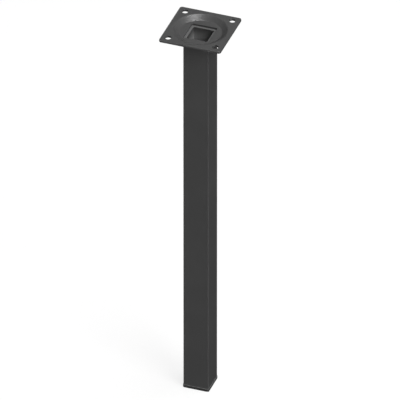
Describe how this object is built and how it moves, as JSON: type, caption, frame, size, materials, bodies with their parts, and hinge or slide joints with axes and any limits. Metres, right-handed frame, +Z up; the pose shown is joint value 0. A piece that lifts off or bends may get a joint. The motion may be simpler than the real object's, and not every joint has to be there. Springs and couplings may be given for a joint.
{
  "type": "square table leg",
  "caption": "Square steel table leg in black powder coat, with a pressed square fixing plate welded on top and a plastic foot cap.",
  "frame": {"origin": "centre of the foot cap's underside, where the leg meets the floor", "axes": "+Z up along the tube towards the fixing plate, +X and +Y square to the tube's faces"},
  "size_m": [0.06, 0.06, 0.394],
  "materials": {
    "powder_coat": "semi-gloss black powder coat",
    "cap_plastic": "moulded black plastic"
  },
  "bodies": {
    "root": {"mounting_plate": "powder_coat", "leg_tube": "powder_coat", "weld_seam": "powder_coat", "foot_cap": "cap_plastic"}
  },
  "joints": []
}
